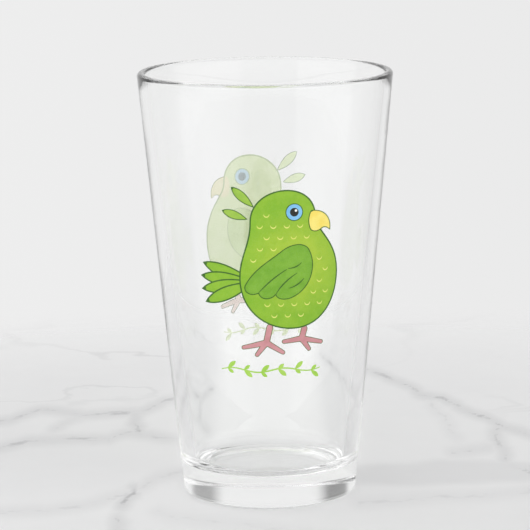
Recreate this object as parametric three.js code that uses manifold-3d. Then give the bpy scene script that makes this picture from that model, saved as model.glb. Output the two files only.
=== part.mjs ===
// A 16 oz pint glass (a straight-sided mixing glass) with a two-sided printed bird.
// Units are millimetres, +Z is up, the glass stands on Z = 0 and the front print faces -Y.
// The glass is one turned solid. Each colour of the print is a thin film that follows its wall.
import * as THREE from "three";
import { mergeVertices } from "three/addons/utils/BufferGeometryUtils.js";
import Module from "manifold-3d";

const wasm = await Module();
wasm.setup();

// ---- Driving dimensions of the glass ----
const HEIGHT = 149.2; // 5 7/8 in
const RIM_RADIUS = 44.45; // 3 1/2 in across the rim
const BASE_RADIUS = 30.4; // where the line of the wall meets the table
const HEEL_RADIUS = 2.2; // rounding between wall and underside
const LIP_RADIUS = 1.4; // the lip is a full round, so the wall is twice this at the top
const WALL_LOW = 5; // wall thickness where the inner corner begins
const FLOOR_HEIGHT = 10.5; // top of the thick base, at its edge
const FLOOR_CROWN = 0.3; // how much the inner floor rises to its middle
const FLOOR_CORNER = 5.5; // rounding between the inner floor and the wall
const FOOT_INNER_RADIUS = 23.5; // the flat ring it stands on begins here
const PUNT_DEPTH = 0.9; // hollow inside that ring
const PUNT_STEP = 1.5; // width of the slope from the ring into the hollow
const SEGMENTS = 72; // facets round the glass, and round each film
const HEEL_STEPS = 6; // straight pieces in the rounding of the heel
const LIP_STEPS = 8; // and of the lip
const CORNER_STEPS = 7; // and of the inner corner
const WELD_DISTANCE = 1e-4; // corners closer than this are one corner

// ---- Driving dimensions of the print ----
const INK_THICKNESS = 0.12;
const INK_GAP = 0.1; // between the glass and the first film, and between films
const LINE_WIDTH = 0.5; // outline of the bird
const UNDERBASE_INSET = 0.35; // the white film stops short of the coloured edge
const UNDERBASE_SCALE = 0.93; // and its feathers are this much smaller
const CURVE_STEPS = 7; // straight pieces in each curve of an outline
const CIRCLE_STEPS = 20;
const STROKE_STEPS = 5; // straight pieces in the round end of a stroke
const LINE_STEPS = 3; // and of the thin strokes that make up an outline
const CUT_FRONT = 70; // how far a cutting prism reaches out from the axis
const PRINT_LOW = 35; // the films lie between these two heights
const PRINT_HIGH = 130;

const WALL_SLOPE = (RIM_RADIUS - BASE_RADIUS) / (HEIGHT - LIP_RADIUS);
const WALL_ANGLE = Math.atan(WALL_SLOPE);
const outerRadius = (z) => BASE_RADIUS + WALL_SLOPE * z;

const COLOURS = {
  glass: 0xf4f7f6,
  white: 0xf6f6f0,
  green: 0x8fc241,
  leaf: 0xa6cc50,
  wing: 0x7bb03a,
  line: 0x3f6b22,
  blue: 0x86c3e8,
  black: 0x1c1f1c,
  yellow: 0xf2e07a,
  pink: 0xe0a498,
};

function inkMaterial(colour) {
  return new THREE.MeshStandardMaterial({ color: colour, roughness: 0.35, metalness: 0 });
}

const glassMaterial = new THREE.MeshStandardMaterial({
  color: COLOURS.glass,
  roughness: 0.03,
  metalness: 0,
  transparent: true,
  opacity: 0.35,
  side: THREE.DoubleSide,
});

// Points of an arc about (cr, cz), from angle a0 to a1, both ends included.
function arcPoints(cr, cz, radius, a0, a1, steps) {
  const points = [];
  for (let i = 0; i <= steps; i++) {
    const a = a0 + ((a1 - a0) * i) / steps;
    points.push(new THREE.Vector2(cr + radius * Math.cos(a), cz + radius * Math.sin(a)));
  }
  return points;
}

// ---- The glass ----

// Radius and height pairs, from the middle of the underside, up the outside, over the lip,
// down the inside and back to the axis.
function glassProfile() {
  const heelCentre = outerRadius(HEEL_RADIUS) - HEEL_RADIUS / Math.cos(WALL_ANGLE);
  const lipCentre = RIM_RADIUS - LIP_RADIUS;
  const lipHeight = HEIGHT - LIP_RADIUS;
  const cornerTop = FLOOR_HEIGHT + FLOOR_CORNER;
  const innerLow = outerRadius(cornerTop) - WALL_LOW;
  const innerSlope = (lipCentre - LIP_RADIUS - innerLow) / (lipHeight - cornerTop);
  const innerAngle = Math.atan(innerSlope);
  const cornerCentre = innerLow - FLOOR_CORNER / Math.cos(innerAngle);
  return [
    new THREE.Vector2(0, PUNT_DEPTH),
    new THREE.Vector2(FOOT_INNER_RADIUS - PUNT_STEP, PUNT_DEPTH),
    new THREE.Vector2(FOOT_INNER_RADIUS, 0),
    ...arcPoints(heelCentre, HEEL_RADIUS, HEEL_RADIUS, -Math.PI / 2, -WALL_ANGLE, HEEL_STEPS),
    ...arcPoints(lipCentre, lipHeight, LIP_RADIUS, -WALL_ANGLE, Math.PI - innerAngle, LIP_STEPS),
    ...arcPoints(cornerCentre, cornerTop, FLOOR_CORNER, -innerAngle, -Math.PI / 2, CORNER_STEPS),
    new THREE.Vector2(0, FLOOR_HEIGHT + FLOOR_CROWN),
  ];
}

function turned(profile) {
  return new THREE.LatheGeometry(profile, SEGMENTS).rotateX(Math.PI / 2);
}

// ---- Films of ink ----

// A geometry as a manifold-3d solid.
function solidOf(geometry) {
  const plain = new THREE.BufferGeometry()
    .setAttribute("position", geometry.getAttribute("position"))
    .setIndex(geometry.index);
  const merged = mergeVertices(plain, WELD_DISTANCE);
  return new wasm.Manifold(
    new wasm.Mesh({
      numProp: 3,
      vertProperties: merged.attributes.position.array,
      triVerts: new Uint32Array(merged.index.array),
    }),
  );
}

// A manifold-3d solid as a geometry.
function geometryOf(solid) {
  const mesh = solid.getMesh();
  const positions = new Float32Array(mesh.numVert * 3);
  for (let i = 0; i < mesh.numVert; i++) {
    const start = i * mesh.numProp;
    positions.set(mesh.vertProperties.subarray(start, start + 3), i * 3);
  }
  return new THREE.BufferGeometry()
    .setAttribute("position", new THREE.BufferAttribute(positions, 3))
    .setIndex(new THREE.BufferAttribute(mesh.triVerts, 1));
}

// The conical sleeve that holds one layer of ink: layer 1 lies next to the glass.
function sleeve(layer) {
  const inner = layer * INK_GAP + (layer - 1) * INK_THICKNESS;
  const outer = inner + INK_THICKNESS;
  const corners = [
    [outerRadius(PRINT_LOW) + inner, PRINT_LOW],
    [outerRadius(PRINT_LOW) + outer, PRINT_LOW],
    [outerRadius(PRINT_HIGH) + outer, PRINT_HIGH],
    [outerRadius(PRINT_HIGH) + inner, PRINT_HIGH],
    [outerRadius(PRINT_LOW) + inner, PRINT_LOW],
  ];
  return solidOf(turned(corners.map(([r, z]) => new THREE.Vector2(r, z))));
}

const SLEEVES = [1, 2, 3].map(sleeve);

// Artwork is drawn flat, as (distance round the wall, height). This wraps a point to the
// front of the glass and gives its place as seen from the front.
function wrapped(point) {
  const radius = outerRadius(point.y);
  return new THREE.Vector2(radius * Math.sin(point.x / radius), point.y);
}

// A prism through the front of the glass with the artwork's outline.
function prism(loop) {
  const shape = new THREE.Shape(loop.map(wrapped));
  const geometry = new THREE.ExtrudeGeometry(shape, { depth: CUT_FRONT, bevelEnabled: false });
  return solidOf(geometry.rotateX(Math.PI / 2));
}

// One film: the loops of the artwork joined, and cut out of their layer.
function film(layer, loops) {
  const prisms = loops.map((loop) => prism(loop));
  return SLEEVES[layer - 1].intersect(wasm.Manifold.union(prisms));
}

// ---- Outlines of the artwork ----

// A closed outline of cubic curves: a start point, then [control, control, end] rows.
function curvedLoop(start, rows) {
  const path = new THREE.Path().moveTo(...start);
  rows.forEach(([a, b, end]) => path.bezierCurveTo(...a, ...b, ...end));
  return path.getPoints(CURVE_STEPS).slice(0, -1);
}

// A closed outline moved sideways: outwards where the distance is positive.
function offsetLoop(loop, distance) {
  const turn = THREE.ShapeUtils.isClockWise(loop) ? -1 : 1;
  return loop.map((point, i) => {
    const before = loop[(i + loop.length - 1) % loop.length];
    const after = loop[(i + 1) % loop.length];
    const along = after.clone().sub(before).normalize();
    return new THREE.Vector2(
      point.x + along.y * distance * turn,
      point.y - along.x * distance * turn,
    );
  });
}

function circle(u, z, radius) {
  return arcPoints(u, z, radius, 0, Math.PI * 2, CIRCLE_STEPS).slice(0, -1);
}

// A rounded stroke from one point to another, with a radius at each end.
function stroke([u0, z0], r0, [u1, z1], r1, steps = STROKE_STEPS) {
  const heading = Math.atan2(z1 - z0, u1 - u0);
  const side = Math.PI / 2;
  return [
    ...arcPoints(u0, z0, r0, heading + side, heading + 3 * side, steps),
    ...arcPoints(u1, z1, r1, heading - side, heading + side, steps),
  ];
}

// A drawn line: one stroke for each side of a closed outline.
function lineAlong(loop) {
  const radius = LINE_WIDTH / 2;
  return loop.map((point, i) => {
    const next = loop[(i + 1) % loop.length];
    return stroke([point.x, point.y], radius, [next.x, next.y], radius, LINE_STEPS);
  });
}

// Where a leaf's control points lie, as shares of its length and of half its width.
const LEAF_ROOT = { along: 0.25, out: 0.6 };
const LEAF_TIP = { along: 0.65, out: 1.5 };

// A leaf or feather: pointed at its root, widest beyond the middle, with a soft tip.
function leaf([u, z], heading, length, width) {
  const [nearRoot, nearTip] = [LEAF_ROOT, LEAF_TIP].map(
    ({ along, out }) => new THREE.Vector2(length * along, (width / 2) * out),
  );
  const loop = curvedLoop(
    [0, 0],
    [
      [[nearRoot.x, -nearRoot.y], [nearTip.x, -nearTip.y], [length, 0]],
      [[nearTip.x, nearTip.y], [nearRoot.x, nearRoot.y], [0, 0]],
    ],
  );
  const angle = THREE.MathUtils.degToRad(heading);
  return loop.map((p) => p.rotateAround(new THREE.Vector2(), angle).add(new THREE.Vector2(u, z)));
}

// Head and body as one outline. The bird faces right.
const BODY = curvedLoop(
  [6.5, 113.2],
  [
    [[12.5, 113.2], [16.9, 109.4], [16.9, 103.6]],
    [[16.9, 98.6], [25.3, 94.6], [25.3, 84.2]],
    [[25.3, 73.4], [18.4, 65.0], [8.6, 65.0]],
    [[-1.6, 65.0], [-9.4, 72.4], [-9.4, 82.6]],
    [[-9.4, 90.4], [-5.6, 94.4], [-5.6, 102.4]],
    [[-5.6, 108.8], [0.2, 113.2], [6.5, 113.2]],
  ],
);

// Tail feathers fan out from one point inside the body.
const TAIL = { root: [-4.6, 81.6], headings: [162, 176, 190, 204], length: 19.4, width: 5.4 };
const tailFeathers = (scale) =>
  TAIL.headings.map((heading) => leaf(TAIL.root, heading, TAIL.length * scale, TAIL.width * scale));

// A folded wing with three feather tips.
const WING = curvedLoop(
  [14.6, 92.0],
  [
    [[17.4, 86.4], [15.0, 78.4], [8.0, 75.8]],
    [[5.0, 74.8], [3.0, 75.8], [2.8, 77.2]],
    [[1.0, 75.0], [-2.6, 75.2], [-3.0, 77.8]],
    [[-5.2, 76.4], [-8.4, 77.6], [-7.6, 80.2]],
    [[-4.6, 86.0], [0.6, 88.8], [5.0, 92.2]],
    [[8.2, 94.8], [13.2, 95.2], [14.6, 92.0]],
  ],
);

const BEAK = curvedLoop(
  [15.4, 105.8],
  [
    [[19.6, 106.2], [23.2, 103.4], [22.4, 98.6]],
    [[21.2, 100.0], [19.8, 100.0], [18.8, 99.2]],
    [[17.6, 98.4], [16.2, 98.4], [15.2, 99.2]],
    [[14.2, 101.2], [14.2, 103.8], [15.4, 105.8]],
  ],
);

const EYE = { u: 9.4, z: 105.6, ring: 2.9, pupil: 1.5 };

// Two feathers that stand up from the back of the head.
const CREST = {
  crest_feather_upper: { root: [-4.4, 107.6], heading: 138, length: 10.2, width: 3.6 },
  crest_feather_lower: { root: [-6.6, 103.4], heading: 162, length: 9.2, width: 3.4 },
};

// Each foot is a leg, a heel and toes, with the width of a stroke at each end.
const FEET = {
  foot_left: { top: [0.6, 65.6], ankle: [-0.6, 60.2], toes: [[-8.4, 58.4], [-3.8, 55.9], [5.0, 56.6]] },
  foot_right: { top: [12.6, 64.6], ankle: [11.6, 61.2], toes: [[5.4, 60.4], [14.2, 57.3], [18.8, 59.4]] },
};
const LEG_RADIUS = 0.95;
const TOE_TIP_RADIUS = 0.6;

function footLoops({ top, ankle, toes }) {
  return [
    stroke(top, LEG_RADIUS, ankle, LEG_RADIUS),
    ...toes.map((tip) => stroke(ankle, LEG_RADIUS, tip, TOE_TIP_RADIUS)),
  ];
}

// A leafy sprig under the bird: a wavy stem with leaves above and below it.
const SPRIG = {
  left: -16.6,
  right: 18.4,
  height: 50.3,
  wave: 0.7,
  waves: 2,
  stemRadius: 0.28,
  steps: 14,
  leafPairs: 6,
  leafPlace: 0.4, // of the way along each pair's share of the stem
  large: { heading: 42, length: 3.9, width: 1.9 },
  small: { heading: -38, length: 2.73, width: 1.52 },
};

function sprigLoops() {
  const span = SPRIG.right - SPRIG.left;
  const stemAt = (t) => [
    SPRIG.left + span * t,
    SPRIG.height + SPRIG.wave * Math.sin(t * Math.PI * 2 * SPRIG.waves),
  ];
  const loops = [];
  for (let i = 0; i < SPRIG.steps; i++) {
    const from = stemAt(i / SPRIG.steps);
    const to = stemAt((i + 1) / SPRIG.steps);
    loops.push(stroke(from, SPRIG.stemRadius, to, SPRIG.stemRadius));
  }
  for (let i = 0; i < SPRIG.leafPairs; i++) {
    const root = stemAt((i + SPRIG.leafPlace) / SPRIG.leafPairs);
    const side = i % 2 ? -1 : 1;
    for (const { heading, length, width } of [SPRIG.large, SPRIG.small]) {
      loops.push(leaf(root, heading * side, length, width));
    }
  }
  return loops;
}

// ---- Every film of one print ----

function printFilms() {
  const eyeHole = circle(EYE.u, EYE.z, EYE.pupil + INK_GAP);
  const lines = [BODY, ...tailFeathers(1)].flatMap(lineAlong);
  // The line is cut away round the beak and the wing, which lie in the same layer.
  const overLines = [BEAK, WING].map((loop) => prism(offsetLoop(loop, INK_GAP)));
  const films = {
    white_underbase: [
      "white",
      film(1, [
        offsetLoop(BODY, -UNDERBASE_INSET),
        offsetLoop(BEAK, -UNDERBASE_INSET),
        ...tailFeathers(UNDERBASE_SCALE),
      ]),
    ],
    plumage: ["green", film(2, [BODY, ...tailFeathers(1)])],
    outline: ["line", film(3, lines).subtract(wasm.Manifold.union(overLines))],
    wing: ["wing", film(3, [WING])],
    eye_ring: ["blue", film(3, [circle(EYE.u, EYE.z, EYE.ring)]).subtract(prism(eyeHole))],
    eye_pupil: ["black", film(3, [circle(EYE.u, EYE.z, EYE.pupil)])],
    beak: ["yellow", film(3, [BEAK])],
    sprig: ["leaf", film(1, sprigLoops())],
  };
  for (const [name, { root, heading, length, width }] of Object.entries(CREST)) {
    films[name] = ["leaf", film(1, [leaf(root, heading, length, width)])];
  }
  for (const [name, foot] of Object.entries(FEET)) {
    films[name] = ["pink", film(1, footLoops(foot))];
  }
  return films;
}

// ---- Assembly ----

const part = new THREE.Group();
part.name = "printed_pint_glass";

const glass = new THREE.Mesh(turned(glassProfile()), glassMaterial);
glass.name = "glass_body";
part.add(glass);

const films = printFilms();
for (const [side, turn] of [["front", 0], ["back", Math.PI]]) {
  const group = new THREE.Group();
  group.name = `${side}_print`;
  group.rotation.z = turn;
  for (const [name, [colour, solid]] of Object.entries(films)) {
    const mesh = new THREE.Mesh(geometryOf(solid), inkMaterial(COLOURS[colour]));
    mesh.name = `${side}_${name}`;
    group.add(mesh);
  }
  part.add(group);
}

export default part;
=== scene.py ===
"""A printed 16 oz pint glass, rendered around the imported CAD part.

Everything is in metres in the part's own frame: the glass stands on Z = 0, its axis is Z, and
the front print faces -Y. Artwork is drawn flat, in millimetres, as (distance round the wall,
height), and then wrapped on to the wall.
"""

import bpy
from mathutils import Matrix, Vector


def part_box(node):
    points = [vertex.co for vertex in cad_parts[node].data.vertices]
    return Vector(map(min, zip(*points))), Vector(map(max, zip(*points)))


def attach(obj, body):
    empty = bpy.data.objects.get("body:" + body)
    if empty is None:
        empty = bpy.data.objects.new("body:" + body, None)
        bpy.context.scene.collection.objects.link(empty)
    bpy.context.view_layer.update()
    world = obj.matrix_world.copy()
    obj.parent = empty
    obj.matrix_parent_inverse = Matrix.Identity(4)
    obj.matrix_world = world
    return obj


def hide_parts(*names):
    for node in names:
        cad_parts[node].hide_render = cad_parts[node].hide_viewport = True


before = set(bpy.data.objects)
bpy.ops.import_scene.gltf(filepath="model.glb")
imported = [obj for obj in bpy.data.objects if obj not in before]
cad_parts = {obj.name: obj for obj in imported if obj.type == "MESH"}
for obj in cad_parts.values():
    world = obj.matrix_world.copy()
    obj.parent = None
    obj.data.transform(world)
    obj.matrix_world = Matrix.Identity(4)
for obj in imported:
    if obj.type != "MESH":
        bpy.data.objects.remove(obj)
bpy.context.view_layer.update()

import math

import bmesh
import bpy
import numpy as np
from mathutils import Matrix, Vector, noise

MM = 0.001

# ---- Sizes of the glass, in millimetres, as in the CAD ----
GLASS_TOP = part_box("glass_body")[1].z / MM
HEIGHT = round(GLASS_TOP, 1)  # the CAD's lip is made of flats, and ends a hair below this
RIM_RADIUS = 44.45
BASE_RADIUS = 30.4
HEEL_RADIUS = 2.2
LIP_RADIUS = 1.4
WALL_LOW = 5.0
FLOOR_HEIGHT = 10.5
FLOOR_CROWN = 0.3
FLOOR_CORNER = 5.5
FOOT_INNER_RADIUS = 23.5
PUNT_DEPTH = 0.9
PUNT_ROUNDING = 0.8  # rounding of the step between the foot ring and the hollow
GLASS_SEGMENTS = 256
HOLLOW_STEPS = 6  # how finely each part of the profile is drawn, from the underside up
FOOT_STEPS = 4
HEEL_STEPS = 14
WALL_STEPS = 30
LIP_STEPS = 20
CORNER_STEPS = 18
CROWN_STEPS = 8

WALL_SLOPE = (RIM_RADIUS - BASE_RADIUS) / (HEIGHT - LIP_RADIUS)
WALL_ANGLE = math.atan(WALL_SLOPE)

# ---- The print, in millimetres ----
INK_THICKNESS = 0.02
LAYER_LIFT = {
    "pale line": 0.010, "pale": 0.035,  # what shows from inside the glass
    "colour": 0.060, "line": 0.085, "over": 0.110, "detail": 0.135,
}
STRIP_WIDTH = 1.2  # films are cut into strips this wide, so that they bend smoothly
WELD_DISTANCE = 0.002
SHARP_ANGLE = math.radians(30)
CURVE_STEPS = 14
CAPSULE_STEPS = 8


def outer_radius(z):
    return BASE_RADIUS + WALL_SLOPE * z


# ---- Camera: 10.4 degrees down, from just over a metre away, with a long lens ----
CAMERA_DISTANCE = 1.0207
CAMERA_HEIGHT = 0.2669
CAMERA_PITCH = math.radians(10.352)
CAMERA_YAW = math.radians(0.0442)
CAMERA_ROLL = math.radians(-0.7073)
CAMERA_LENS = 200.7  # mm, on a 36 mm sensor


def make_camera():
    data = bpy.data.cameras.new("camera")
    data.lens = CAMERA_LENS
    data.sensor_width = 36
    data.clip_end = 50
    camera = bpy.data.objects.new("camera", data)
    bpy.context.scene.collection.objects.link(camera)
    turn = Matrix.Rotation(CAMERA_YAW, 4, "Z")
    turn = turn @ Matrix.Rotation(math.pi / 2 - CAMERA_PITCH, 4, "X")
    turn = turn @ Matrix.Rotation(CAMERA_ROLL, 4, "Z")
    camera.matrix_world = Matrix.Translation((0, -CAMERA_DISTANCE, CAMERA_HEIGHT)) @ turn
    bpy.context.scene.camera = camera


# ---- Small helpers for node trees ----


class Nodes:
    """A node tree with short calls: each returns an output socket."""

    def __init__(self, tree):
        self.tree = tree

    def add(self, kind, inputs=None, output=0, **settings):
        node = self.tree.nodes.new(kind)
        for key, value in settings.items():
            setattr(node, key, value)
        for key, value in (inputs or {}).items():
            self.put(value, node.inputs[key])
        return node.outputs[output]

    def put(self, value, socket):
        if isinstance(value, bpy.types.NodeSocket):
            self.tree.links.new(value, socket)
        else:
            socket.default_value = value

    def math(self, operation, *values, clamp=False):
        return self.add(
            "ShaderNodeMath", dict(enumerate(values)), operation=operation, use_clamp=clamp
        )

    def vector_math(self, operation, a, b, output=0):
        return self.add("ShaderNodeVectorMath", {0: a, 1: b}, output, operation=operation)

    def smooth(self, value, low, high, to_low=0.0, to_high=1.0):
        return self.add(
            "ShaderNodeMapRange",
            {"Value": value, "From Min": low, "From Max": high, "To Min": to_low, "To Max": to_high},
            interpolation_type="SMOOTHSTEP",
        )

    def mix(self, factor, a, b):
        node = self.tree.nodes.new("ShaderNodeMix")
        node.data_type = "RGBA"
        self.put(factor, node.inputs[0])
        self.put(a, node.inputs[6])
        self.put(b, node.inputs[7])
        return node.outputs[2]

    def blend(self, factor, a, b):
        return self.add("ShaderNodeMix", {0: factor, 2: a, 3: b}, data_type="FLOAT")

    def noise(self, coords, scale, detail=3.0, roughness=0.5):
        inputs = {"Vector": coords, "Scale": scale, "Detail": detail, "Roughness": roughness}
        return self.add("ShaderNodeTexNoise", inputs)

    def coords(self, name="Object"):
        return self.add("ShaderNodeTexCoord", output=name)

    def bump(self, height, strength, distance):
        inputs = {"Height": height, "Strength": strength, "Distance": distance}
        return self.add("ShaderNodeBump", inputs)


def colour(code):
    """An sRGB hex code as linear RGBA."""
    channels = [int(code[i:i + 2], 16) / 255 for i in (0, 2, 4)]
    linear = [c / 12.92 if c <= 0.04045 else ((c + 0.055) / 1.055) ** 2.4 for c in channels]
    return (*linear, 1.0)


def new_material(name):
    material = bpy.data.materials.new(name)
    material.use_nodes = True
    nodes = Nodes(material.node_tree)
    shader = material.node_tree.nodes["Principled BSDF"]
    return material, nodes, shader


# ---- Materials. Noise scales are per metre: a higher one gives a finer pattern ----

GLASS_TINTS = (0.992, 0.996, 0.994, 1), (0.998, 1.0, 0.999, 1)
GLASS_ROUGHEST = 0.008
GLASS_IOR = 1.52
TINT_SCALE = 18.0
POLISH_SCALE = 60.0
WAVE_SCALE = 45.0
WAVE_STRENGTH = 0.12
WAVE_DEPTH = 0.0003


def glass_material():
    """Clear pressed glass: faint long waves from the mould, and a slightly uneven polish."""
    material, n, shader = new_material("clear_glass")
    here = n.coords()
    tint = n.smooth(n.noise(here, TINT_SCALE), 0.3, 0.7)
    n.put(n.mix(tint, *GLASS_TINTS), shader.inputs["Base Color"])
    polish = n.smooth(n.noise(here, POLISH_SCALE), 0.35, 0.75, 0.0, GLASS_ROUGHEST)
    n.put(polish, shader.inputs["Roughness"])
    waves = n.noise(here, WAVE_SCALE, detail=1.0)
    n.put(n.bump(waves, WAVE_STRENGTH, WAVE_DEPTH), shader.inputs["Normal"])
    shader.inputs["IOR"].default_value = GLASS_IOR
    shader.inputs["Transmission Weight"].default_value = 1.0
    return material


WASH_SCALE = 220.0
FADE_EDGE_SCALE = 320.0
FADE_CORE = 0.15  # the share of the patch's radius where its shade is full
GRAIN_SCALE = 2600.0
GRAIN_STRENGTH = 0.12
GRAIN_DEPTH = 0.00002
GRAIN_WHITE = 0.025  # how much paler the grain's highest spots are
INK_ROUGHNESS = (0.34, 0.5)
INK_SPECULAR = 0.25


def ink_material(name, main, second, fade=None):
    """Satin printing ink. Its colour drifts between two shades like a watercolour wash.
    fade is (centre in metres, radius, shade): a soft patch of a third shade."""
    material, n, shader = new_material(name)
    here = n.coords()
    wash = n.smooth(n.noise(here, WASH_SCALE, detail=4.0, roughness=0.6), 0.32, 0.68)
    base = n.mix(wash, colour(main), colour(second))
    if fade:
        centre, radius, shade = fade
        away = n.vector_math("DISTANCE", here, centre, output="Value")
        near = n.smooth(away, FADE_CORE * radius, radius, 1.0, 0.0)
        uneven = n.smooth(n.noise(here, FADE_EDGE_SCALE), 0.2, 0.7, 0.55, 1.0)
        base = n.mix(n.math("MULTIPLY", near, uneven), base, colour(shade))
    grain = n.noise(here, GRAIN_SCALE, detail=2.0)
    speck = n.smooth(grain, 0.3, 0.8, 0.0, GRAIN_WHITE)
    n.put(n.mix(speck, base, colour("FFFFFF")), shader.inputs["Base Color"])
    n.put(n.smooth(grain, 0.2, 0.8, *INK_ROUGHNESS), shader.inputs["Roughness"])
    n.put(n.bump(grain, GRAIN_STRENGTH, GRAIN_DEPTH), shader.inputs["Normal"])
    shader.inputs["Specular IOR Level"].default_value = INK_SPECULAR
    return material


# ---- The glass ----


def arc(centre_r, centre_z, radius, start, end, steps):
    turn = (end - start) / steps
    angles = [start + turn * i for i in range(steps + 1)]
    return [(centre_r + radius * math.cos(a), centre_z + radius * math.sin(a)) for a in angles]


def line(start, end, steps):
    """Points between two points, both left out."""
    (r0, z0), (r1, z1) = start, end
    return [(r0 + (r1 - r0) * i / steps, z0 + (z1 - z0) * i / steps) for i in range(1, steps)]


def glass_profile():
    """Radius and height pairs from the middle of the underside, up the outside, over the lip,
    down the inside and back to the axis."""
    heel = arc(
        outer_radius(HEEL_RADIUS) - HEEL_RADIUS / math.cos(WALL_ANGLE),
        HEEL_RADIUS, HEEL_RADIUS, -math.pi / 2, -WALL_ANGLE, HEEL_STEPS,
    )
    corner_top = FLOOR_HEIGHT + FLOOR_CORNER
    inner_low = outer_radius(corner_top) - WALL_LOW
    inner_top = RIM_RADIUS - 2 * LIP_RADIUS
    inner_angle = math.atan((inner_top - inner_low) / (HEIGHT - LIP_RADIUS - corner_top))
    lip = arc(
        RIM_RADIUS - LIP_RADIUS, HEIGHT - LIP_RADIUS, LIP_RADIUS,
        -WALL_ANGLE, math.pi - inner_angle, LIP_STEPS,
    )
    corner = arc(
        inner_low - FLOOR_CORNER / math.cos(inner_angle), corner_top, FLOOR_CORNER,
        -inner_angle, -math.pi / 2, CORNER_STEPS,
    )
    step = PUNT_ROUNDING
    punt = arc(
        FOOT_INNER_RADIUS - step, PUNT_DEPTH - step, step, math.pi / 2, math.pi / 4, FOOT_STEPS
    )
    ring = arc(
        FOOT_INNER_RADIUS + step, step, step, -3 * math.pi / 4, -math.pi / 2, FOOT_STEPS
    )
    flat = line((0, PUNT_DEPTH), punt[0], HOLLOW_STEPS)
    crown_end = (0, FLOOR_HEIGHT + FLOOR_CROWN)
    crown = []
    for i in range(1, CROWN_STEPS):
        share = i / CROWN_STEPS
        radius = corner[-1][0] * (1 - share)
        crown.append((radius, FLOOR_HEIGHT + FLOOR_CROWN * (1 - (1 - share) ** 2)))
    return [
        (0, PUNT_DEPTH), *flat, *punt, *ring, *heel,
        *line(heel[-1], lip[0], WALL_STEPS), *lip,
        *line(lip[-1], corner[0], WALL_STEPS), *corner, *crown, crown_end,
    ]


def make_glass():
    """The whole glass as one turned, closed, smooth mesh."""
    mesh = bmesh.new()
    rings = []
    for radius, z in glass_profile():
        if radius == 0:
            rings.append([mesh.verts.new((0, 0, z * MM))])
            continue
        rings.append([
            mesh.verts.new((
                radius * MM * math.cos(2 * math.pi * i / GLASS_SEGMENTS),
                radius * MM * math.sin(2 * math.pi * i / GLASS_SEGMENTS),
                z * MM,
            ))
            for i in range(GLASS_SEGMENTS)
        ])
    for low, high in zip(rings, rings[1:]):
        for i in range(GLASS_SEGMENTS):
            j = (i + 1) % GLASS_SEGMENTS
            if len(low) == 1:
                mesh.faces.new((low[0], high[j], high[i]))
            elif len(high) == 1:
                mesh.faces.new((low[i], low[j], high[0]))
            else:
                mesh.faces.new((low[i], low[j], high[j], high[i]))
    for face in mesh.faces:
        face.smooth = True
    glass = finish_mesh("glass", mesh, glass_material())
    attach(glass, "root")
    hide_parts("glass_body")


def finish_mesh(name, mesh, material):
    data = bpy.data.meshes.new(name)
    mesh.to_mesh(data)
    mesh.free()
    data.materials.append(material)
    piece = bpy.data.objects.new(name, data)
    bpy.context.scene.collection.objects.link(piece)
    return piece


# ---- Flat outlines ----


def bezier(start, first, second, end, steps=CURVE_STEPS):
    """Points of a cubic curve, without its last one."""
    points = []
    for i in range(steps):
        t = i / steps
        s = 1 - t
        weights = (s ** 3, 3 * s * s * t, 3 * s * t * t, t ** 3)
        corners = (start, first, second, end)
        points.append(tuple(sum(w * c[k] for w, c in zip(weights, corners)) for k in (0, 1)))
    return points


def curved(start, rows):
    """A closed chain of cubic curves: a start point, then (control, control, end) rows."""
    points = []
    for first, second, end in rows:
        points += bezier(start, first, second, end)
        start = end
    return points


def circle(u, z, radius, steps=48):
    turn = 2 * math.pi / steps
    return [(u + radius * math.cos(turn * i), z + radius * math.sin(turn * i)) for i in range(steps)]


def side_step(points, i, closed=False):
    """The unit vector to the left of the path at one of its points."""
    last = len(points) - 1
    before = points[i - 1] if i or closed else points[0]
    after = points[(i + 1) % len(points)] if i < last or closed else points[last]
    du, dz = after[0] - before[0], after[1] - before[1]
    length = math.hypot(du, dz) or 1.0
    return -dz / length, du / length


def brush(points, width, taper):
    """The outline of a drawn line. taper is the share of its width that it loses at each end."""
    left, right = [], []
    for i, (u, z) in enumerate(points):
        along = i / (len(points) - 1)
        half = width / 2 * (1 - taper * (1 - math.sin(math.pi * along)))
        nu, nz = side_step(points, i)
        left.append((u + nu * half, z + nz * half))
        right.append((u - nu * half, z - nz * half))
    return [*left, *reversed(right)]


def capsule(start, start_radius, end, end_radius):
    """The outline of a rod with round ends, one of which may be smaller."""
    heading = math.atan2(end[1] - start[1], end[0] - start[0])
    quarter = math.pi / 2
    return [
        *arc(*start, start_radius, heading + quarter, heading + 3 * quarter, CAPSULE_STEPS),
        *arc(*end, end_radius, heading - quarter, heading + quarter, CAPSULE_STEPS),
    ]


def leaf(root, heading, length, width):
    """A pointed outline that leaves its root at a heading in degrees."""
    half = width / 2
    loop = curved((0, 0), [
        ((length * 0.25, -half * 0.6), (length * 0.65, -half * 1.5), (length, 0)),
        ((length * 0.65, half * 1.5), (length * 0.25, half * 0.6), (0, 0)),
    ])
    a = math.radians(heading)
    return [
        (root[0] + u * math.cos(a) - z * math.sin(a), root[1] + u * math.sin(a) + z * math.cos(a))
        for u, z in loop
    ]


# ---- Artwork: a small bird that faces right, over a leafy sprig ----

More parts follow.
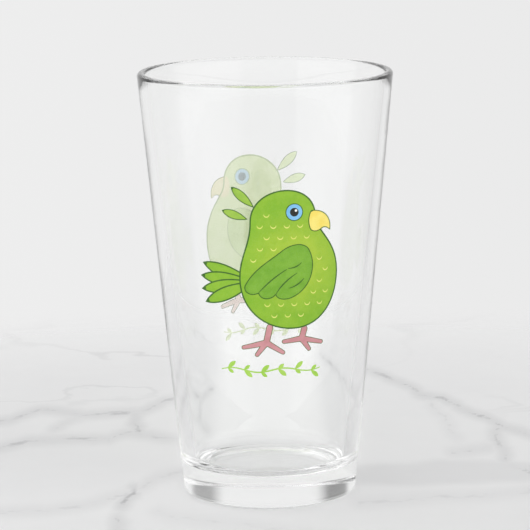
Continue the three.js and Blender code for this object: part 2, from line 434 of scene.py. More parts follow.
BODY = curved((6.5, 113.2), [
    ((12.5, 113.2), (16.9, 109.4), (16.9, 103.6)),
    ((16.9, 98.6), (25.3, 94.6), (25.3, 84.2)),
    ((25.3, 73.4), (18.4, 65.0), (8.6, 65.0)),
    ((-1.6, 65.0), (-9.4, 72.4), (-9.4, 82.6)),
    ((-9.4, 90.4), (-5.6, 94.4), (-5.6, 102.4)),
    ((-5.6, 108.8), (0.2, 113.2), (6.5, 113.2)),
])
WING = curved((14.6, 92.0), [
    ((17.4, 86.4), (15.0, 78.4), (8.0, 75.8)),
    ((5.0, 74.8), (3.0, 75.8), (2.8, 77.2)),
    ((1.0, 75.0), (-2.6, 75.2), (-3.0, 77.8)),
    ((-5.2, 76.4), (-8.4, 77.6), (-7.6, 80.2)),
    ((-4.6, 86.0), (0.6, 88.8), (5.0, 92.2)),
    ((8.2, 94.8), (13.2, 95.2), (14.6, 92.0)),
])
BEAK = curved((15.4, 105.8), [
    ((19.6, 106.2), (23.2, 103.4), (22.4, 98.6)),
    ((21.2, 100.0), (19.8, 100.0), (18.8, 99.2)),
    ((17.6, 98.4), (16.2, 98.4), (15.2, 99.2)),
    ((14.2, 101.2), (14.2, 103.8), (15.4, 105.8)),
])
WING_TRIM = 0.1  # how far the wing's colour stays inside its line
BEAK_MIDDLE = (17.0, 102.0)
EYE = (9.4, 105.6)
EYE_RADIUS = 2.9
PUPIL_RADIUS = 1.5
SHINE = (9.95, 106.15)
SHINE_RADIUS = 0.42
TAIL_LENGTH = 19.4
TAIL_WIDTH = 5.4
TAIL = [leaf((-4.6, 81.6), heading, TAIL_LENGTH, TAIL_WIDTH) for heading in (162, 176, 190, 204)]
CREST = {
    "crest_feather_upper": ((-4.4, 107.6), 138, 10.2, 3.6),
    "crest_feather_lower": ((-6.6, 103.4), 162, 9.2, 3.4),
}
FEET = {
    "foot_left": ((0.6, 65.6), (-0.6, 60.2), [(-8.4, 58.4), (-3.8, 55.9), (5.0, 56.6)]),
    "foot_right": ((12.6, 64.6), (11.6, 61.2), [(5.4, 60.4), (14.2, 57.3), (18.8, 59.4)]),
}
LEG_RADIUS = 0.95
TOE_TIP_RADIUS = 0.6
SPRIG_LEFT, SPRIG_RIGHT, SPRIG_HEIGHT = -16.6, 18.4, 50.3
SPRIG_WAVE = 0.7
SPRIG_PAIRS = 6
SPRIG_LEAVES = [(42, 3.9, 1.9), (-38, 2.7, 1.5)]  # heading, length and width of a pair's two
STEM_WIDTH = 0.56
STEM_STEPS = 60
MARK_ROWS, MARK_COLUMNS = 10, 9
FIRST_MARK = (-7.0, 69.5)
MARK_GAP = (4.6, 3.9)
MARK_HALF_WIDTH = 0.95
MARK_CLEARANCE = 2.2  # between a mark and the body's edge or the eye
FEATHER_LINE = 0.42
LINE_WIDTH = 0.5
THIN_LINE = 0.3
FOOT_LINE = 0.2


def foot_loops(name, extra=0.0):
    """The outlines of a leg and its toes, all thicker by twice extra."""
    top, ankle, toes = FEET[name]
    wide, narrow = LEG_RADIUS + extra, TOE_TIP_RADIUS + extra
    return [capsule(top, wide, ankle, wide), *(capsule(ankle, wide, tip, narrow) for tip in toes)]


def stem_point(t):
    """A point on the sprig's wavy stem, from 0 at its left end to 1 at its right."""
    across = SPRIG_LEFT + (SPRIG_RIGHT - SPRIG_LEFT) * t
    return across, SPRIG_HEIGHT + SPRIG_WAVE * math.sin(4 * math.pi * t)


def sprig_loops():
    stem = [stem_point(i / STEM_STEPS) for i in range(STEM_STEPS + 1)]
    loops = [brush(stem, STEM_WIDTH, taper=0.4)]
    for i in range(SPRIG_PAIRS):
        root = stem_point((i + 0.4) / SPRIG_PAIRS)
        side = -1 if i % 2 else 1
        for heading, length, width in SPRIG_LEAVES:
            loops.append(leaf(root, heading * side, length, width))
    return loops


def inside(loop, u, z):
    """True where the point lies inside the loop."""
    crossed = False
    for (u0, z0), (u1, z1) in zip(loop, loop[1:] + loop[:1]):
        if (z0 > z) != (z1 > z) and u < u0 + (z - z0) * (u1 - u0) / (z1 - z0):
            crossed = not crossed
    return crossed


def feather_mark(u, z):
    """One cupped stroke."""
    start, end = (u - MARK_HALF_WIDTH, z + 0.5), (u + MARK_HALF_WIDTH, z + 0.5)
    cup = bezier(start, (u - 0.8, z - 0.75), (u + 0.8, z - 0.75), end, 10)
    return brush([*cup, end], FEATHER_LINE, taper=0.7)


def has_room(u, z):
    """True where a feather mark is on the body and clear of the wing, the eye and the beak."""
    reach = (-MARK_CLEARANCE, MARK_CLEARANCE)
    on_body = all(inside(BODY, u + du, z + dz) for du in reach for dz in (-2.0, 1.6))
    on_wing = any(inside(WING, u + du, z + dz) for du in (-1.6, 1.6) for dz in (-1.6, 1.6))
    near_eye = math.dist((u, z), EYE) < EYE_RADIUS + MARK_CLEARANCE
    near_beak = math.dist((u, z), BEAK_MIDDLE) < 4.6
    return on_body and not on_wing and not near_eye and not near_beak


def feather_marks():
    """Small cupped strokes over the breast and back, in staggered rows."""
    marks = []
    for row in range(MARK_ROWS):
        z = FIRST_MARK[1] + row * MARK_GAP[1]
        for column in range(MARK_COLUMNS):
            u = FIRST_MARK[0] + column * MARK_GAP[0] + (MARK_GAP[0] / 2 if row % 2 else 0.0)
            if has_room(u, z):
                marks.append(feather_mark(u, z))
    return marks


def wing_feathers():
    """Lines that part the long feathers of the wing."""
    paths = [
        ((2.8, 77.2), (4.6, 80.4), (7.2, 82.6), (10.2, 84.4)),
        ((-3.0, 77.8), (-0.4, 80.8), (2.8, 83.6), (6.6, 85.8)),
        ((12.6, 82.4), (11.4, 81.0), (9.6, 79.6), (7.4, 79.2)),
        ((11.8, 88.0), (10.4, 86.6), (8.8, 86.0), (7.0, 86.2)),
    ]
    return [brush([*bezier(*path), path[-1]], FEATHER_LINE, taper=0.6) for path in paths]


# ---- From flat outlines to films that hug the glass ----


NEAR_ENOUGH = 0.97  # the share of its distance that a moved point has to keep


def prism(loop):
    """A flat outline as a slab from height 0 to 1, for the joining below."""
    return slab_object(thickened([loop]))


def offset(loop, distance):
    """The outline moved outwards by a distance, or inwards by a negative one. Points that would
    come too near the outline, at sharp corners, are dropped."""
    loop = loop if area_of(loop) > 0 else loop[::-1]
    moved = []
    for i, (u, z) in enumerate(loop):
        nu, nz = side_step(loop, i, True)
        moved.append((u - nu * distance, z - nz * distance))
    limit = abs(distance) * NEAR_ENOUGH
    return [point for point in moved if gap_to(loop, point) > limit]


def gap_to(loop, point):
    """Distance from a point to the nearest side of an outline."""
    best = math.inf
    px, pz = point
    for (u0, z0), (u1, z1) in zip(loop, loop[1:] + loop[:1]):
        du, dz = u1 - u0, z1 - z0
        share = ((px - u0) * du + (pz - z0) * dz) / (du * du + dz * dz or 1.0)
        share = min(1.0, max(0.0, share))
        best = min(best, math.hypot(px - u0 - share * du, pz - z0 - share * dz))
    return best


def ring_slab(loop, width):
    """A slab as wide as a drawn line, all the way round a closed outline."""
    outer, inner = prism(offset(loop, width / 2)), prism(offset(loop, -width / 2))
    flat = solid([(outer, "UNION"), (inner, "DIFFERENCE")])
    return slab_object(flat)


def slab_object(mesh):
    data = bpy.data.meshes.new("slab")
    mesh.to_mesh(data)
    mesh.free()
    slab = bpy.data.objects.new("slab", data)
    bpy.context.scene.collection.objects.link(slab)
    return slab


def solid(steps):
    """One solid, as a bmesh, from (slab, operation) steps applied in turn."""
    whole = steps[0][0]
    for tool, operation in steps[1:]:
        cut = whole.modifiers.new("cut", "BOOLEAN")
        cut.object = tool
        cut.operation = operation
        cut.solver = "EXACT"
    graph = bpy.context.evaluated_depsgraph_get()
    result = bmesh.new()
    result.from_mesh(whole.evaluated_get(graph).to_mesh())
    for slab, _ in steps:
        data = slab.data
        bpy.data.objects.remove(slab)
        bpy.data.meshes.remove(data)
    return result


def paint(steps):
    """The top of such a solid: one flat shape."""
    flat = solid(steps)
    lower = [f for f in flat.faces if min(v.co.z for v in f.verts) < 0.5]
    bmesh.ops.delete(flat, geom=lower, context="FACES")
    return flat


def joined(loops, holes=()):
    """The outlines joined into one flat shape, with the holes cut out."""
    steps = [(prism(loop), "UNION") for loop in loops]
    return paint(steps + [(prism(hole), "DIFFERENCE") for hole in holes])


def thickened(loops):
    """Outlines that don't touch each other, as one many-part solid, as a bmesh."""
    whole = bmesh.new()
    for loop in loops:
        loop = loop if area_of(loop) > 0 else loop[::-1]
        low = [whole.verts.new((u, z, 0)) for u, z in loop]
        high = [whole.verts.new((u, z, 1)) for u, z in loop]
        whole.faces.new(low[::-1])
        whole.faces.new(high)
        for i in range(len(loop)):
            j = (i + 1) % len(loop)
            whole.faces.new((low[i], low[j], high[j], high[i]))
    return whole


def scattered(loops):
    """Outlines that don't touch each other, as one flat shape."""
    flat = bmesh.new()
    for loop in loops:
        loop = loop if area_of(loop) > 0 else loop[::-1]
        flat.faces.new([flat.verts.new((u, z, 1)) for u, z in loop])
    return flat


def line_drawing(loops, width=LINE_WIDTH):
    """The lines round several shapes, where each shape hides what was drawn before it."""
    steps = [(ring_slab(loops[0], width), "UNION")]
    for loop in loops[1:]:
        steps.append((prism(loop), "DIFFERENCE"))
        steps.append((ring_slab(loop, width), "UNION"))
    return paint(steps)


def cut_in_strips(flat):
    """Cuts a flat shape into narrow upright strips, so that it can bend round the wall."""
    bmesh.ops.triangulate(flat, faces=flat.faces)
    across = [v.co.x for v in flat.verts]
    cut_at = min(across) + STRIP_WIDTH
    while cut_at < max(across):
        everything = [*flat.verts, *flat.edges, *flat.faces]
        bmesh.ops.bisect_plane(flat, geom=everything, plane_co=(cut_at, 0, 0), plane_no=(1, 0, 0))
        cut_at += STRIP_WIDTH
    bmesh.ops.triangulate(flat, faces=flat.faces)
    bmesh.ops.remove_doubles(flat, verts=flat.verts, dist=WELD_DISTANCE)
    flat.verts.index_update()
    return flat


def on_wall(point, lift, side):
    """Where a flat point lands on the wall, in metres. side is 1 in front and -1 behind."""
    angle = point.x / outer_radius(point.y)
    radius = outer_radius(point.y) + lift
    return Vector((side * radius * math.sin(angle), -side * radius * math.cos(angle), point.y)) * MM


def add_film(mesh, flat, lift, side):
    """Wraps a flat shape on to the wall as a thin closed film."""
    under = [mesh.verts.new(on_wall(v.co, lift, side)) for v in flat.verts]
    over = [mesh.verts.new(on_wall(v.co, lift + INK_THICKNESS, side)) for v in flat.verts]
    seen = set()
    for face in flat.faces:
        index = [v.index for v in face.verts]
        if frozenset(index) in seen:
            continue
        seen.add(frozenset(index))
        mesh.faces.new([over[i] for i in index])
        mesh.faces.new([under[i] for i in reversed(index)])
    for edge in flat.edges:
        if len(edge.link_faces) == 1:
            loop = edge.link_loops[0]
            start, end = loop.vert.index, loop.link_loop_next.vert.index
            mesh.faces.new((under[start], under[end], over[end], over[start]))


def put_print(films, inks, back):
    """Makes one piece from each (name, ink, slot, node, parts) in films."""
    prefix, side = ("back_", -1) if back else ("front_", 1)
    for name, ink, slot, node, parts in films:
        mesh = bmesh.new()
        for layer, flat in parts:
            add_film(mesh, flat, LAYER_LIFT[layer], side)
        bmesh.ops.recalc_face_normals(mesh, faces=mesh.faces)
        for face in mesh.faces:
            face.smooth = True
        piece = finish_mesh(prefix + name, mesh, inks[ink])
        piece.data.set_sharp_from_angle(angle=SHARP_ANGLE)
        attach(piece, "root")
        if node:
            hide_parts(prefix + node)


def print_films():
    """The films of one print: the pale inks that show from inside the glass, then the colours
    over them, then the lines."""
    eye = circle(*EYE, EYE_RADIUS)
    pupil = circle(*EYE, PUPIL_RADIUS)
    shine = circle(*SHINE, SHINE_RADIUS, 20)
    crest = {name: leaf(*facts) for name, facts in CREST.items()}
    feet = {name: joined(foot_loops(name)) for name in FEET}
    marks = feather_marks()
    body = [(prism(loop), "UNION") for loop in (offset(BODY, -LINE_WIDTH / 2), *TAIL)]
    holes = (prism(eye), prism(offset(WING, -WING_TRIM)), prism(BEAK), slab_object(thickened(marks)))
    plumage = paint(body + [(hole, "DIFFERENCE") for hole in holes])
    outline = line_drawing([*TAIL, BODY])
    wing = joined([offset(WING, -WING_TRIM)])
    beak = joined([BEAK])
    ring = joined([eye], [pupil])
    dot = joined([pupil])
    sprig = joined(sprig_loops())
    feather_cups = scattered(marks)
    crest_flats = {name: joined([loop]) for name, loop in crest.items()}
    wing_edge = line_drawing([WING], THIN_LINE)
    eye_edge = line_drawing([eye], THIN_LINE)
    fine_lines = [
        *(("line", line_drawing([loop], THIN_LINE)) for loop in crest.values()),
        *(("line", foot_line(name)) for name in FEET),
        ("over", eye_edge),
        ("detail", wing_edge),
        ("detail", scattered(wing_feathers())),
        ("detail", line_drawing([BEAK], THIN_LINE)),
    ]
    films = [
        ("underbase_ink", "pale green", "white_ink", "white_underbase", [
            ("pale", plumage), ("pale", feather_cups), ("pale", sprig),
            *(("pale", flat) for flat in crest_flats.values()),
        ]),
        ("underbase_wing", "pale wing", "white_ink", None, [("pale", wing)]),
        ("underbase_eye", "pale blue", "white_ink", None, [("pale", ring)]),
        ("underbase_pupil", "pale grey", "white_ink", None, [("pale", dot)]),
        ("underbase_beak", "pale yellow", "white_ink", None, [("pale", beak)]),
        ("underbase_feet", "pale pink", "white_ink", None, [("pale", flat) for flat in feet.values()]),
        ("underbase_lines", "pale line", "white_ink", None, [
            ("pale line", outline), ("pale line", wing_edge), ("pale line", eye_edge),
        ]),
        ("plumage_ink", "green", "green_ink", "plumage", [("colour", plumage)]),
        *((name + "_ink", "leaf", "light_green_ink", name, [("colour", flat)])
          for name, flat in crest_flats.items()),
        *((name + "_ink", "pink", "pink_ink", name, [("colour", flat)])
          for name, flat in feet.items()),
        ("sprig_ink", "sprig", "light_green_ink", "sprig", [("colour", sprig)]),
        ("feather_marks_ink", "mark", "yellow_ink", None, [("colour", feather_cups)]),
        ("wing_ink", "wing", "mid_green_ink", "wing", [("line", wing)]),
        ("beak_ink", "yellow", "yellow_ink", "beak", [("over", beak)]),
        ("eye_ring_ink", "blue", "blue_ink", "eye_ring", [("line", ring)]),
        ("eye_pupil_ink", "black", "black_ink", "eye_pupil", [("line", dot)]),
        ("eye_highlight_ink", "shine", "white_ink", None, [("over", joined([shine]))]),
        ("outline_ink", "line", "dark_green_ink", "outline", [("line", outline)]),
        ("fine_lines_ink", "line", "dark_green_ink", None, fine_lines),
    ]
    once = {}
    for *_, parts in films:
        for _, flat in parts:
            once[id(flat)] = flat
    for flat in once.values():
        cut_in_strips(flat)
    return films


def foot_line(name):
    """The line round a leg and its toes."""
    wide = slab_object(solid([(prism(loop), "UNION") for loop in foot_loops(name, FOOT_LINE)]))
    core = slab_object(solid([(prism(loop), "UNION") for loop in foot_loops(name)]))
    return paint([(wide, "UNION"), (core, "DIFFERENCE")])


def area_of(loop):
    return sum(a[0] * b[1] - b[0] * a[1] for a, b in zip(loop, loop[1:] + loop[:1])) / 2


PALE_INKS = {
    "pale green": ("DBE2C3", "D4DDB9"),
    "pale wing": ("CEDAB2", "C8D4A9"),
    "pale blue": ("C2D5E1", "B8CEDC"),
    "pale grey": ("9AA5A9", "8F9A9E"),
    "pale yellow": ("E6E2CA", "E0DCBE"),
    "pale pink": ("E2D2CB", "DACAC2"),
    "pale line": ("BCC7A3", "B3BF99"),
}
BELLY_FADE = ((0.010, -0.037, 0.088), 0.022, "A9C43C")  # a paler patch on the front bird's belly


def make_inks():
    inks = {
        "green": ink_material("green_ink", "7FB128", "8CB830", fade=BELLY_FADE),
        "leaf": ink_material("light_green_ink", "8DB63E", "9DC04C"),
        "sprig": ink_material("sprig_ink", "9BCB4B", "AAD25E"),
        "wing": ink_material("mid_green_ink", "6FA42A", "7DAF35"),
        "line": ink_material("dark_green_ink", "35601C", "446F24"),
        "mark": ink_material("feather_mark_ink", "DDE07A", "CFD864"),
        "blue": ink_material("blue_ink", "70B2E0", "86C2EA"),
        "black": ink_material("black_ink", "161A16", "22261F"),
        "yellow": ink_material("yellow_ink", "F3E27C", "EFD760"),
        "pink": ink_material("pink_ink", "CE9498", "C2868A"),
        "shine": ink_material("eye_shine_ink", "F8F8F4", "F0F2EE"),
    }
    for name, (main, second) in PALE_INKS.items():
        inks[name] = ink_material(name.replace(" ", "_") + "_ink", main, second)
    return inks


# ---- Floor, backdrop and light, in metres unless a comment says otherwise ----

MARBLE_LIGHT = (0.732, 0.732, 0.734, 1)
MARBLE_GREY = (0.7, 0.7, 0.704, 1)
MARBLE_VEIN = (0.38, 0.38, 0.39, 1)
PAINTED_FAN_LIGHT = (0.815, 0.815, 0.815, 1)  # painted light: the pale fan of light that falls behind a clear glass, painted into the floor's colour
SMALL_VEINS = [
    # noise scale, width in the noise, shift of the pattern, strength
    (5.0, 0.014, 15.1, 0.5),
    (9.0, 0.012, 3.3, 0.3),
]
SMALL_VEINS_START = (0.12, 0.2)  # how far from the glass they begin, and are full
SMALL_VEIN_BEND = 0.09
GREY_PATCH = (0.062, 0.018, 0)
GREY_PATCH_SQUASH = (0.4, 1, 0)  # it is wider than it is deep
GREY_PATCH_SIZE = (0.012, 0.024)  # its radius: full, and faded out
GREY_PATCH_STRENGTH = 0.22
GREY_PATCH_RAGGED = 0.02
HALO_WIDTH = 0.0055
HALO_STRENGTH = 0.36
VEIN_WIDTH = 0.0014
VEIN_RAGGED = 0.0016
VEIN_SQUASH = 0.35  # depth counts for this much, so that veins across the view are wider
VEIN_STEP = 0.003
VEIN_WANDER = 0.0035
WANDER_SCALE = 45
JITTER_SCALE = 170
JITTER_SHARE = 0.35
LONG_VEINS = [
    # strength, points on the floor in centimetres
    (0.75, [(-14, 10), (-10.4, 11), (-9, 12.8), (-7.6, 11.6), (-5.3, 12.1), (-3.6, 14.5)]),
    (0.7, [(-14, 5), (-10, 6.3), (-9.1, 7.6), (-6.1, 7.6), (-5.2, 8.4), (-2.9, 7)]),
    (0.6, [(-8.1, 9.4), (-7.6, 11.6)]),
    (0.9, [(-5.4, 11.7), (-4.9, 8.7)]),
    (0.45, [(-13, -3.6), (-7.8, -2.8), (-6, -1.8), (-4.8, 0), (-4.2, 1.6), (-3.2, 2.8)]),
    (1.0, [(-4.9, 0.2), (-5.1, -2.2)]),
    (0.8, [(-5.3, -3.8), (-4.8, -6)]),
    (0.3, [(-3.9, -3), (-1.5, -4.6), (4, -8)]),
    (0.8, [(3.9, 20.5), (5.5, 16.3), (6, 14.6), (6.8, 14), (8.7, 9.6), (10.2, 7.2), (14, 3)]),
    (0.3, [(6.4, 13.2), (6.9, 10.2), (7.1, 7.2)]),
    (0.75, [(8.9, 8.9), (8.5, 3.8)]),
    (0.5, [(6.7, 4.6), (8, 5.4)]),
    (0.35, [(3.2, -2.3), (6, -1.6), (9.2, -1), (12, 1)]),
    (0.7, [(8.8, 3), (10.4, 0.6), (13, 0.2)]),
]
FAN_EDGE = (0.021, 0.038)  # half its width at the glass: full, and faded out
FAN_START = (0.015, 0.06)
FAN_SPREAD = 0.98  # how much wider it grows for each metre behind the glass
FLOOR_SHIFT = -0.15  # the floor reaches further towards the camera than behind the glass
FLOOR_FADE = (0.35, 0.49)
FLOOR_REACH = 0.52
FLOOR_DROP = 0.0002  # keeps the floor clear of the foot ring
FINE_ACROSS = (-0.16, 0.16)  # where the floor's grid is fine enough for its veins
FINE_ALONG = (-0.12, 0.26)
STEP_ACROSS = 0.001
STEP_ALONG = 0.003
COARSE_STEP = 0.04
CENTIMETRES = 100  # in a metre
TINY = 1e-12  # keeps a division finite
CLOUD_SCALE = 7.0
PATCH_EDGE_SCALE = 22.0
STONE_GRAIN_SCALE = 40.0
STONE_ROUGHNESS = (0.5, 0.62)
VEIN_EDGE_SCALE = 260.0
VEIN_BREAK_SCALE = 90.0
VEIN_SWELL_SCALE = 70.0


def small_veins(n, here, scale, width, shift):
    """Thin wandering lines, 1 on the line and 0 away from it, that come and go."""
    moved = n.vector_math("ADD", here, (shift, 2.3 * shift, 0))
    wander = n.add(
        "ShaderNodeTexNoise", {"Vector": moved, "Scale": scale * 1.7, "Detail": 5.0}, output=1
    )
    bend = n.vector_math("MULTIPLY", wander, (SMALL_VEIN_BEND, SMALL_VEIN_BEND, 0))
    bent = n.vector_math("ADD", moved, bend)
    field = n.noise(bent, scale, detail=2.0, roughness=0.45)
    away = n.math("ABSOLUTE", n.math("SUBTRACT", field, 0.5))
    thin = n.smooth(away, 0.0, width, 1.0, 0.0)
    patches = n.smooth(n.noise(moved, scale * 0.8, detail=1.0), 0.42, 0.66)
    return n.math("MULTIPLY", thin, patches)


def long_veins(n, here):
    """The few large veins round the glass: a dark broken thread inside a soft grey halo."""
    away = n.add("ShaderNodeAttribute", output="Fac", attribute_name="vein_away")
    strength = n.add("ShaderNodeAttribute", output="Fac", attribute_name="vein_strength")
    rough = n.math("SUBTRACT", n.noise(here, VEIN_EDGE_SCALE, detail=4.0), 0.5)
    away = n.math("ABSOLUTE", n.math("ADD", away, n.math("MULTIPLY", rough, VEIN_RAGGED)))
    gaps = n.noise(here, VEIN_BREAK_SCALE, detail=4.0, roughness=0.65)
    broken = n.smooth(gaps, 0.42, 0.62, 0.4, 1.0)
    thickness = n.smooth(n.noise(here, VEIN_SWELL_SCALE), 0.35, 0.7, 0.5, 1.9)
    thread = n.smooth(n.math("DIVIDE", away, thickness), 0.0, VEIN_WIDTH, 1.0, 0.0)
    halo = n.math("MULTIPLY", n.smooth(away, 0.0, HALO_WIDTH, 1.0, 0.0), HALO_STRENGTH)
    both = n.math("MAXIMUM", n.math("MULTIPLY", thread, broken), halo)
    return n.math("MULTIPLY", both, strength)


def floor_material():
    """Pale honed marble that fades into the backdrop well behind the glass. A pale fan of painted
    light lies on it behind the glass.
    """
    material, n, shader = new_material("pale_marble")
    here = n.coords()
    cloud = n.smooth(n.noise(here, CLOUD_SCALE, detail=5.0, roughness=0.55), 0.3, 0.7)
    stone = n.mix(cloud, MARBLE_LIGHT, MARBLE_GREY)
    lines, fine = (
        n.math("MULTIPLY", small_veins(n, here, *facts), strength)
        for *facts, strength in SMALL_VEINS
    )
    from_glass = n.vector_math("LENGTH", here, (0, 0, 0), output="Value")
    far_off = n.smooth(from_glass, *SMALL_VEINS_START)
    small = n.math("MULTIPLY", n.math("MAXIMUM", lines, fine), far_off)
    ragged = n.math("SUBTRACT", n.noise(here, PATCH_EDGE_SCALE, detail=4.0), 0.5)
    ragged = n.math("MULTIPLY", ragged, GREY_PATCH_RAGGED)
    spot = n.vector_math("SUBTRACT", here, GREY_PATCH)
    spot = n.vector_math("MULTIPLY", spot, GREY_PATCH_SQUASH)
    from_spot = n.math("ADD", n.vector_math("LENGTH", spot, (0, 0, 0), output="Value"), ragged)
    patch = n.smooth(from_spot, *GREY_PATCH_SIZE, GREY_PATCH_STRENGTH, 0.0)
    vein = n.math("MAXIMUM", n.math("MAXIMUM", small, patch), long_veins(n, here))
    # painted light: a pale fan painted on the floor behind the glass, where light comes through it;
    # the veins fade out inside it
    place = n.add("ShaderNodeSeparateXYZ", {0: here}).node
    spread = n.math("MULTIPLY_ADD", place.outputs[1], FAN_SPREAD, 1.0)
    across = n.math("DIVIDE", n.math("ABSOLUTE", place.outputs[0]), spread)
    in_fan = n.smooth(across, *FAN_EDGE, 1.0, 0.0)
    fan = n.math("MULTIPLY", in_fan, n.smooth(place.outputs[1], *FAN_START))
    calm = n.math("MULTIPLY", vein, n.math("SUBTRACT", 1.0, fan))
    veined = n.mix(calm, stone, MARBLE_VEIN)
    n.put(n.mix(fan, veined, PAINTED_FAN_LIGHT), shader.inputs["Base Color"])
    grain = n.smooth(n.noise(here, STONE_GRAIN_SCALE), 0.3, 0.7, *STONE_ROUGHNESS)
    n.put(grain, shader.inputs["Roughness"])
    away = n.vector_math("DISTANCE", here, (0, FLOOR_SHIFT, 0), output="Value")
    clear = n.add("ShaderNodeBsdfTransparent")
    gone = n.smooth(away, *FLOOR_FADE)
    both = n.add("ShaderNodeMixShader", {0: gone, 1: shader.outputs[0], 2: clear})
    output = next(node for node in n.tree.nodes if node.type == "OUTPUT_MATERIAL")
    n.put(both, output.inputs["Surface"])
    return material


def wandering(points):
    """The floor line through points (centimetres), in short steps in metres, that wanders."""
    places = [Vector((x / CENTIMETRES, y / CENTIMETRES, 0)) for x, y in points]
    path = []
    for start, end in zip(places, places[1:]):
        steps = max(2, round((end - start).length / VEIN_STEP))
        path += [start.lerp(end, step / steps) for step in range(steps)]
    path.append(places[-1])
    return [
        place
        + noise.noise_vector(place * WANDER_SCALE) * VEIN_WANDER
        + noise.noise_vector(place * JITTER_SCALE) * VEIN_WANDER * JITTER_SHARE
        for place in path
    ]


def vein_fields(places):
    """For each place on the floor, how far the nearest large vein is, and how strong it is."""
    squash = np.array([1, VEIN_SQUASH])
    flat = places * squash
    away = np.ones(len(places))
    strength = np.zeros(len(places))
    for power, points in LONG_VEINS:
        path = np.array([place.to_2d() for place in wandering(points)]) * squash
        for start, end in zip(path, path[1:]):
            run = end - start
            gone = flat - start
            share = np.clip(gone @ run / max(run @ run, TINY), 0, 1)
            distance = np.hypot(*(gone - share[:, None] * run).T)
            nearer = distance < away
            away[nearer] = distance[nearer]
            strength[nearer] = power
    return away, strength


def spaced(low, fine_low, fine_high, high, fine_step, coarse_step):
    """Grid lines from low to high, close together between fine_low and fine_high."""
    lines = []
    for start, end, step in (
        (low, fine_low, coarse_step), (fine_low, fine_high, fine_step), (fine_high, high, coarse_step)
    ):
        count = math.ceil((end - start) / step)
        lines += [start + (end - start) * i / count for i in range(count)]
    return lines + [high]


def make_floor():
    """A flat grid. Its points hold how far and how strong the nearest large vein is."""
    near_end, far_end = FLOOR_SHIFT - FLOOR_REACH, FLOOR_SHIFT + FLOOR_REACH
    across = spaced(-FLOOR_REACH, *FINE_ACROSS, FLOOR_REACH, STEP_ACROSS, COARSE_STEP)
    along = spaced(near_end, *FINE_ALONG, far_end, STEP_ALONG, COARSE_STEP)
    mesh = bmesh.new()
    rows = [[mesh.verts.new((x, y, 0)) for x in across] for y in along]
    for near, far in zip(rows, rows[1:]):
        for i in range(len(across) - 1):
            mesh.faces.new((near[i], near[i + 1], far[i + 1], far[i]))
    floor = finish_mesh("floor", mesh, floor_material())
    floor.location.z = -FLOOR_DROP
    places = np.array([(x, y) for y in along for x in across])
    away, strength = vein_fields(places)
    for name, values in (("vein_away", away), ("vein_strength", strength)):
        floor.data.attributes.new(name, "FLOAT", "POINT").data.foreach_set("value", values)


SIDE_ON = 0.001  # keeps the division below finite at right angles to the panel


def panel(n, direction, azimuth, elevation, half_width, half_height, softness, gain):
    """A soft-edged rectangle of light in the sky, or of shade where its gain is negative.
    Azimuth 0 is behind the camera, and 90 is on its right. Angles are in degrees."""
    a, e = math.radians(azimuth), math.radians(elevation)
    facing = Vector((math.sin(a) * math.cos(e), -math.cos(a) * math.cos(e), math.sin(e)))
    right = Vector((math.cos(a), math.sin(a), 0))
    up = facing.cross(right) * -1
    ahead = n.vector_math("DOT_PRODUCT", direction, facing, output="Value")
    front = n.math("MAXIMUM", ahead, SIDE_ON)
    masks = []
    for axis, half in ((right, half_width), (up, half_height)):
        along = n.vector_math("DOT_PRODUCT", direction, axis, output="Value")
        away = n.math("ABSOLUTE", n.math("DIVIDE", along, front))
        reach = math.tan(math.radians(half))
        edge = reach * softness
        masks.append(n.smooth(away, reach - edge, reach + edge, 1.0, 0.0))
    mask = n.math("MULTIPLY", *masks)
    shown = n.math("MULTIPLY", mask, n.smooth(ahead, 0.02, 0.1))
    return n.math("MULTIPLY", shown, gain)


LAMPS = [
    # azimuth, elevation, half width, half height, softness, gain
    (-66, 4, 34, 14, 0.05, 0.40),    # soft box on the left: the bright band on the right
    (62, 4, 38, 14, 0.25, 0.30),     # softer fill on the right
    (0, -5, 66, 5, 0.5, 0.4),        # low light on the camera's side
    (122, -8, 22, 18, 0.35, -0.15),  # dark side of the room on the right
    (-75, 55, 36, 24, 0.6, 0.7),     # key from the upper left
]
DARK_CARDS = [
    # the thick base gathers these into its dark marks
    (138, 15, 13, 8, 0.5, -0.48),
    (-138, 15, 13, 8, 0.5, -0.58),
    (45, 50, 26, 13, 0.4, -0.88),
    (-45, 50, 22, 12, 0.4, -0.4),
]
WALL_LIGHT = 0.84  # what lights the scene from beyond the glass, from the camera's side, and above
ROOM_LIGHT = 1.24
CEILING_LIGHT = 0.80
ROOM_EDGE = (-0.6, 0.4)  # how far towards the camera the wall's light ends and the room's is full
CEILING_EDGE = (0.45, 0.85)  # how far upwards the ceiling starts, and is full
WALL_SHADES = (0.862, 0.818)  # the wall that the camera sees, from its left to its right
WALL_EDGES = (-0.25, 0.25)
DARKEST = 0.02
BRIGHTEST_SEEN = 0.93  # straight through the glass, so that a lamp behind it doesn't burn out


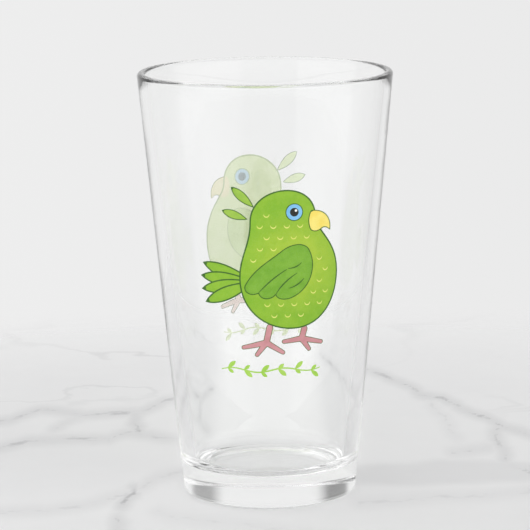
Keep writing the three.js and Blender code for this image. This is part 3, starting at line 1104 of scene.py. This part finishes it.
def make_light():
    """The camera sees a plain wall all round. The lamps light the scene and show in reflections.
    Light that comes straight through the glass is capped and has the dark cards in it."""
    world = bpy.data.worlds.new("studio")
    bpy.context.scene.world = world
    world.use_nodes = True
    n = Nodes(world.node_tree)
    direction = n.coords("Generated")
    forward = n.vector_math("DOT_PRODUCT", direction, (0, -1, 0), output="Value")
    total = n.smooth(forward, *ROOM_EDGE, WALL_LIGHT, ROOM_LIGHT)
    upward = n.vector_math("DOT_PRODUCT", direction, (0, 0, 1), output="Value")
    above = n.smooth(upward, *CEILING_EDGE)
    change = n.math("MULTIPLY", n.math("SUBTRACT", CEILING_LIGHT, total), above)
    total = n.math("ADD", total, change)
    for facts in LAMPS:
        total = n.math("ADD", panel(n, direction, *facts), total)
    path = n.add("ShaderNodeLightPath").node
    bounced = n.math(
        "ADD", path.outputs["Glossy Depth"], path.outputs["Diffuse Depth"], clamp=True
    )
    through = n.blend(bounced, n.math("MINIMUM", total, BRIGHTEST_SEEN), total)
    for facts in DARK_CARDS:
        through = n.math("ADD", panel(n, direction, *facts), through)
    seen = n.blend(path.outputs["Is Transmission Ray"], total, through)
    sideways = n.vector_math("DOT_PRODUCT", direction, (1, 0, 0), output="Value")
    wall = n.smooth(sideways, *WALL_EDGES, *WALL_SHADES)
    total = n.blend(path.outputs["Is Camera Ray"], seen, wall)
    total = n.math("MAXIMUM", total, DARKEST)
    background = world.node_tree.nodes["Background"]
    n.put(total, background.inputs["Strength"])
    n.put((1.0, 1.0, 1.0, 1), background.inputs["Color"])
    scene = bpy.context.scene
    scene.view_settings.view_transform = "Standard"
    scene.cycles.max_bounces = 96
    scene.cycles.glossy_bounces = 56
    scene.cycles.transmission_bounces = 64
    scene.cycles.transparent_max_bounces = 40
    scene.cycles.diffuse_bounces = 6
    scene.cycles.blur_glossy = 0.0


make_camera()
make_glass()
ink_set = make_inks()
film_set = print_films()
put_print(film_set, ink_set, back=False)
put_print(film_set, ink_set, back=True)
make_floor()
make_light()
